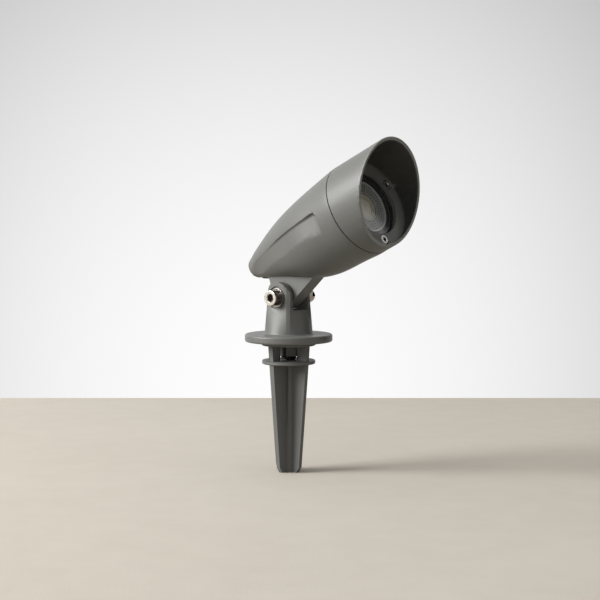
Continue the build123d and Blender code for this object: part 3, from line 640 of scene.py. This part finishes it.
# the tail is drawn in and ends in a flat face
tail_from, tail_draw, tail_face = -98.0 * MM, 0.8 * MM, -100.6 * MM
pick(head_body, "VERT", lambda corner: ahead(corner.co) < tail_from)
bpy.ops.transform.translate(
    value=head_axis * tail_draw,
    use_proportional_edit=True,
    proportional_edit_falloff="SMOOTH",
    proportional_size=9 * MM,
)
bpy.ops.mesh.select_all(action="SELECT")
bpy.ops.mesh.bisect(
    plane_co=seam + head_axis * tail_face, plane_no=head_axis, clear_inner=True, use_fill=True
)
bpy.ops.object.mode_set(mode="OBJECT")
pick(head_body, "FACE", lambda face: ahead(face.center) < tail_face + 0.05 * MM)
bevel_picked(0.45 * MM, 2)
smooth(head_body)
fit(head_body, graphite, "head", "head_body")


# ==== Cable grommet ===============================================================
# Black rubber bush in the inlet under the tail, open for the cable.
rubber, shader, place = new_finish("black_rubber", {"Specular IOR Level": 0.35})
dust = place.grain(700.0, 4.0)
dust.tint((0.010, 0.010, 0.010), (0.032, 0.031, 0.030)).feed(shader, "Base Color")
(dust * 0.2 + 0.55).feed(shader, "Roughness")
dust.emboss(shader, 0.00006, 0.5)
cable_grommet = fresh_piece("cable_grommet", "inlet_bush")
soften(cable_grommet, 0.35 * MM, 50)
smooth(cable_grommet)
fit(cable_grommet, rubber, "head", "cable_grommet")


# ==== Driver: cup, circuit board and leads ===========================================
# Constant-current driver in a white moulded cup behind the lamp module. Its board
# carries a wound transformer and a can capacitor; two leads run to the LED board.
white_nylon, shader, place = new_finish("white_nylon", {"Specular IOR Level": 0.4})
flow = place.grain(160.0, 3.0)
flow.tint((0.66, 0.655, 0.62), (0.80, 0.80, 0.77)).feed(shader, "Base Color")
(flow * 0.2 + 0.42).feed(shader, "Roughness")
flow.emboss(shader, 0.00005, 0.4)

board_green, shader, place = new_finish("driver_circuit_board", {"Specular IOR Level": 0.5})
cells = place.add("TexVoronoi", {"feature": "DISTANCE_TO_EDGE"}, {"Vector": place, "Scale": 420.0})
copper = cells.between(0.02, 0.06)
parts_above = along(place, seam, head_up).between(0.3 * MM, 0.5 * MM)
board_colour = copper.tint((0.10, 0.26, 0.10), (0.012, 0.085, 0.032))
wound = place.grain(900.0, 1.0, (1, 0.1, 1)).tint((0.30, 0.16, 0.03), (0.48, 0.30, 0.08))
parts_above.tint(board_colour, wound).feed(shader, "Base Color")
(copper * -0.1 + 0.45).feed(shader, "Roughness")
copper.emboss(shader, 0.00006, 0.6)

pvc, shader, place = new_finish("lead_insulation", {"Specular IOR Level": 0.5})
far_lead = place.part(1).between(-0.1 * MM, 0.1 * MM)
scuff = place.grain(500.0, 3.0)
far_lead.tint((0.45, 0.02, 0.015), (0.016, 0.016, 0.017)).feed(shader, "Base Color")
(scuff * 0.25 + 0.3).feed(shader, "Roughness")
scuff.emboss(shader, 0.00004, 0.4)

for node, name, finish, slot in (
    ("driver_case", "driver_cup", white_nylon, "driver_plastic"),
    ("driver_board", "driver_circuit", board_green, "driver_green"),
    ("led_leads", "lamp_leads", pvc, "lead_insulation"),
):
    piece = fresh_piece(node, name)
    smooth(piece)
    fit(piece, finish, "head", node)


# ==== Lamp module: carrier, pad, board, chip and screws ==============================
# Turned aluminium heat spreader on the housing's shoulder, with the white
# aluminium-core board and its round LED on a silicone pad.
bright_zinc = zinc_plate("bright_zinc_steel", (0.42, 0.43, 0.45), (0.72, 0.73, 0.74))

aluminium, shader, place = new_finish("turned_aluminium", {"Metallic": 1.0})
rings = tool_marks(off_line(place, seam, head_axis), 3200.0)
rings.tint((0.55, 0.56, 0.57), (0.80, 0.81, 0.82)).feed(shader, "Base Color")
(rings * 0.15 + 0.22).feed(shader, "Roughness")
rings.emboss(shader, 0.00004, 0.5)

silicone_pad, shader, place = new_finish("thermal_silicone", {"Specular IOR Level": 0.3})
fill = place.grain(1500.0, 3.0)
fill.tint((0.30, 0.31, 0.33), (0.40, 0.41, 0.43)).feed(shader, "Base Color")
(fill * 0.1 + 0.7).feed(shader, "Roughness")

white_board, shader, place = new_finish("white_circuit_board", {"Specular IOR Level": 0.5})
plan = place.add("TexVoronoi", {"feature": "DISTANCE_TO_EDGE"}, {"Vector": place, "Scale": 260.0})
tracks = plan.between(0.03, 0.08)
tracks.tint((0.62, 0.60, 0.54), (0.80, 0.80, 0.78)).feed(shader, "Base Color")
(place.grain(300.0) * 0.15 + 0.3).feed(shader, "Roughness")
tracks.emboss(shader, 0.00004, 0.5)

phosphor, shader, place = new_finish(
    "led_phosphor", {"Specular IOR Level": 0.5, "Coat Roughness": 0.08}
)
white_rim = off_line(place, seam, head_axis).between(4.8 * MM, 5.1 * MM)
dies = place.add("TexVoronoi", {}, {"Vector": place, "Scale": 900.0})
(white_rim + dies * -0.15).tint((0.78, 0.56, 0.12), (0.72, 0.71, 0.66)).feed(shader, "Base Color")
(place.grain(800.0) * 0.1 + 0.28).feed(shader, "Roughness")
dies.emboss(shader, 0.00004, 0.4)

for node, name, finish, slot in (
    ("carrier_plate", "heat_spreader", aluminium, "carrier_aluminium"),
    ("carrier_screws", "spreader_screws", bright_zinc, "carrier_screw_steel"),
    ("thermal_pad", "silicone_pad", silicone_pad, "pad_grey"),
    ("led_board", "lamp_board", white_board, "board_white"),
    ("board_screws", "lamp_board_screws", bright_zinc, "board_screw_steel"),
    ("led_chip", "lamp_chip", phosphor, "led_phosphor"),
):
    piece = fresh_piece(node, name)
    smooth(piece)
    fit(piece, finish, "head", node)


# ==== Lens and its holder =========================================================
# Moulded acrylic collimator: a dished centre ringed by steps and four rows of
# small dimples. A black ring holds it off the module.
head_turn = Matrix((head_up, across, head_axis)).transposed().to_euler()
lens_face, lens_radius = 3.2 * MM, 17.5 * MM
rim_height, shoulder_radius = 2.0 * MM, 16.2 * MM
cone_length, tail_radius = 12.35 * MM, 7.2 * MM
spokes = 60
bpy.ops.mesh.primitive_circle_add(vertices=spokes, radius=lens_radius, fill_type="NGON")
lens = bpy.context.object
lens.name = "collimator_lens"
lens.location = (0, 0, lens_face)
bpy.ops.object.transform_apply(location=True, rotation=True, scale=True)


def innermost(face):
    """The face that closes the middle of the lens."""
    return face.center.xy.length < 0.5 * MM and face.normal.z > 0.5


def step_in(width, drop):
    """Step from the middle face inwards, leaving a ring of faces, and down."""
    pick(lens, "FACE", innermost)
    bpy.ops.mesh.inset(thickness=width, depth=-drop)
    bpy.ops.object.mode_set(mode="OBJECT")


# flat rim, four rows below it, a raised ring, three steps and the dished middle
step_in(0.9 * MM, 0)
step_in(0.05 * MM, 0.5 * MM)
for _ in range(4):
    step_in(1.75 * MM, 0.1 * MM)
step_in(0.05 * MM, -0.5 * MM)
step_in(0.7 * MM, 0)
for _ in range(3):
    step_in(0.25 * MM, 0.5 * MM)
    step_in(0.9 * MM, 0.12 * MM)
step_in(1.6 * MM, 0.35 * MM)
step_in(1.6 * MM, 0.2 * MM)


def in_rows(face):
    return 9.6 * MM < face.center.xy.length < 16.5 * MM and face.normal.z > 0.8


def on_rim(edge):
    ends = (lens.data.vertices[index].co for index in edge.vertices)
    return all(end.xy.length > lens_radius - 1e-6 for end in ends)


def narrow(share):
    """Draw the picked loop in towards the axis of the lens."""
    bpy.ops.transform.resize(value=(share, share, 1), center_override=(0, 0, 0))


# dimples: every face of the four rows is pressed in
pick(lens, "FACE", in_rows)
bpy.ops.mesh.inset(thickness=0.16 * MM, depth=-0.30 * MM, use_individual=True)
bpy.ops.object.mode_set(mode="OBJECT")
# rim, then the cone down to the chip, closed at its tail
pick(lens, "EDGE", on_rim)
bpy.ops.mesh.extrude_region_move(TRANSFORM_OT_translate={"value": (0, 0, -rim_height)})
bpy.ops.mesh.extrude_region_move(TRANSFORM_OT_translate={"value": (0, 0, 0)})
narrow(shoulder_radius / lens_radius)
bpy.ops.mesh.extrude_region_move(TRANSFORM_OT_translate={"value": (0, 0, -cone_length)})
narrow(tail_radius / shoulder_radius)
bpy.ops.mesh.edge_face_add()
bpy.ops.mesh.select_all(action="SELECT")
bpy.ops.mesh.normals_make_consistent(inside=False)
bpy.ops.object.mode_set(mode="OBJECT")
smooth(lens, 24)
set_down(lens, seam, head_turn)

acrylic, shader, place = new_finish(
    "moulded_acrylic", {"Specular IOR Level": 0.6, "Coat Weight": 1.0, "Coat Roughness": 0.05}
)
radius = off_line(place, seam, head_axis) * (1 / lens_radius)
rise, run = along(place, seam, head_up), along(place, seam, across)
turn = rise.math("ARCTAN2", rise, run) * (spokes / math.tau)
# The lens is drawn opaque, and its colours are painted in place of what the clear acrylic shows:
# warm in the middle over the chip, grey further out and paler at the outer edge.
lens_painted_tone = radius.add(
    "ValToRGB",
    {
        "stops": [
            (0.0, (0.96, 0.84, 0.60)),
            (0.34, (0.94, 0.84, 0.66)),
            (0.50, (0.84, 0.79, 0.69)),
            (0.64, (0.76, 0.74, 0.70)),
            (0.86, (0.72, 0.72, 0.72)),
            (0.95, (0.88, 0.89, 0.90)),
            (1.0, (0.95, 0.96, 0.97)),
        ]
    },
    {0: radius},
)
# painted shade: dark lines along the steps and the rows of cells
step_lines = 1.0 - (radius * 10.0).zigzag().between(0.05, 0.16)
cell_lines = 1.0 - turn.zigzag().between(0.10, 0.22)
lines = step_lines.math("MAXIMUM", step_lines, cell_lines * radius.between(0.54, 0.56))
lines = lines * radius.between(0.38, 0.44) * (1.0 - radius.between(0.93, 0.95))
frost = place.add("TexVoronoi", {}, {"Vector": place, "Scale": 1300.0}).between(0.15, 0.45)
dotted = (frost * 0.35).tint(lens_painted_tone, (0.16, 0.155, 0.145))
(lines * 0.85).tint(dotted, (0.035, 0.035, 0.035)).feed(shader, "Base Color")
(frost * 0.2 + 0.16).feed(shader, "Roughness")
(lines * -0.6 + frost * 0.4).emboss(shader, 0.0002, 0.6)
fit(lens, acrylic, "head", "lens")

lens_holder = fresh_piece("lens_holder", "lens_ring")
soften(lens_holder, 0.25 * MM)
smooth(lens_holder)
fit(lens_holder, black_nylon, "head", "lens_holder")


# ==== Glass, gasket and seal =========================================================
# Clear toughened glass in the mouth of the housing, pressed by the hood's flange
# on a silicone gasket; an O-ring seals the hood on the spigot.
glass, shader, place = new_finish(
    "clear_glass", {"Transmission Weight": 1.0, "IOR": 1.5, "Base Color": (0.97, 0.985, 0.98, 1)}
)
smear = place.grain(60.0, 3.0)
(smear * smear * 0.05 + 0.01).feed(shader, "Roughness")
shadow_ray = place.add("LightPath", {}, {}, outlet="Is Shadow Ray")
let_through = place.add("BsdfTransparent", {}, {"Color": (0.93, 0.95, 0.94, 1)})
pane = place.add(
    "MixShader", {}, {0: shadow_ray, 1: Wire(place.tree, shader.outputs[0]), 2: let_through}
)
pane.feed(place.tree.nodes["Material Output"], "Surface")

front_glass = fresh_piece("front_glass", "toughened_glass")
smooth(front_glass)
fit(front_glass, glass, "head", "front_glass")

for node, name, slot in (
    ("glass_gasket", "silicone_gasket", "gasket_rubber"),
    ("body_seal", "seal_ring", "seal_rubber"),
):
    piece = fresh_piece(node, name)
    smooth(piece, 50)
    fit(piece, rubber, "head", node)


# ==== Hood ========================================================================
# Turned and coated ring with the slanted glare hood in front and a flange inside
# that holds the glass. The hood's inner wall ahead of the flange is darkened to near black as
# painted shade, and its rim is lightened as a painted highlight.
hood_graphite, shader, place, colour = powder_coat("hood_powder_coat")
past_flange = along(place, seam, head_axis).between(9.8 * MM, 11.5 * MM)
inner_wall = 1.0 - off_line(place, seam, head_axis).between(28.6 * MM, 29.1 * MM)
# painted shade: near black on the inner wall ahead of the flange
hood_inside_painted_shade = place.grain(300.0, 3.0).tint((0.030, 0.031, 0.028), (0.052, 0.053, 0.049))
coated = (past_flange * inner_wall).tint(colour, hood_inside_painted_shade)
mouth_slope, mouth_ahead = 0.522, 25.94 * MM
mouth_normal = (head_axis - head_up * mouth_slope).normalized()
mouth = mouth_normal.dot(head_axis * mouth_ahead)
to_mouth = along(place, seam, mouth_normal)
# painted highlight: the rim of the mouth is lightened
rim_painted_highlight = to_mouth.between(mouth - 0.6 * MM, mouth - 0.2 * MM) * 0.8
rim_painted_highlight.tint(coated, (0.30, 0.30, 0.285)).feed(shader, "Base Color")

hood = fresh_piece("hood", "glare_hood")
# a wider joint line at the seam, and a wider bore in the flange
rear_edge, joint_gap = 0.4 * MM, 0.45 * MM
pick(hood, "VERT", lambda corner: ahead(corner.co) < rear_edge)
bpy.ops.transform.translate(value=head_axis * joint_gap)
bpy.ops.object.mode_set(mode="OBJECT")
bore_edge, bore_growth, flange_middle = 20.7 * MM, 1.05, 8.5 * MM
pick(hood, "VERT", lambda corner: outward(corner.co) < bore_edge)
bpy.ops.transform.resize(
    value=(bore_growth, bore_growth, bore_growth), center_override=seam + head_axis * flange_middle
)
bpy.ops.object.mode_set(mode="OBJECT")
smooth(hood)
fit(hood, hood_graphite, "head", "hood")


# ==== Hood screws =================================================================
# Three stainless M3 socket screws, sunk in the flange.
# The screws' sides and sockets, short of 9.3 mm along the head, are darkened as painted shade.
hood_steel = turned_steel(
    "stainless_hood_screws", seam, head_axis, (0.66, 0.66, 0.64), (0.90, 0.90, 0.88), 9.3 * MM
)
screw_circle = 25.05 * MM
screw_seat = 7.15 * MM
for number, degrees in enumerate((180, 300, 60), start=1):
    screw = cap_screw(
        f"hood_screw_{number}",
        head_radius=3.0 * MM,
        head_height=2.4 * MM,
        socket_flats=2.6 * MM,
        socket_depth=1.4 * MM,
        shank_radius=1.5 * MM,
        shank_length=11.9 * MM,
    )
    angle = math.radians(degrees)
    sideways = head_up * math.cos(angle) + across * math.sin(angle)
    spot = seam + head_axis * screw_seat + sideways * screw_circle
    set_down(screw, spot, head_turn)
    fit(screw, hood_steel, "head", "hood_screws")
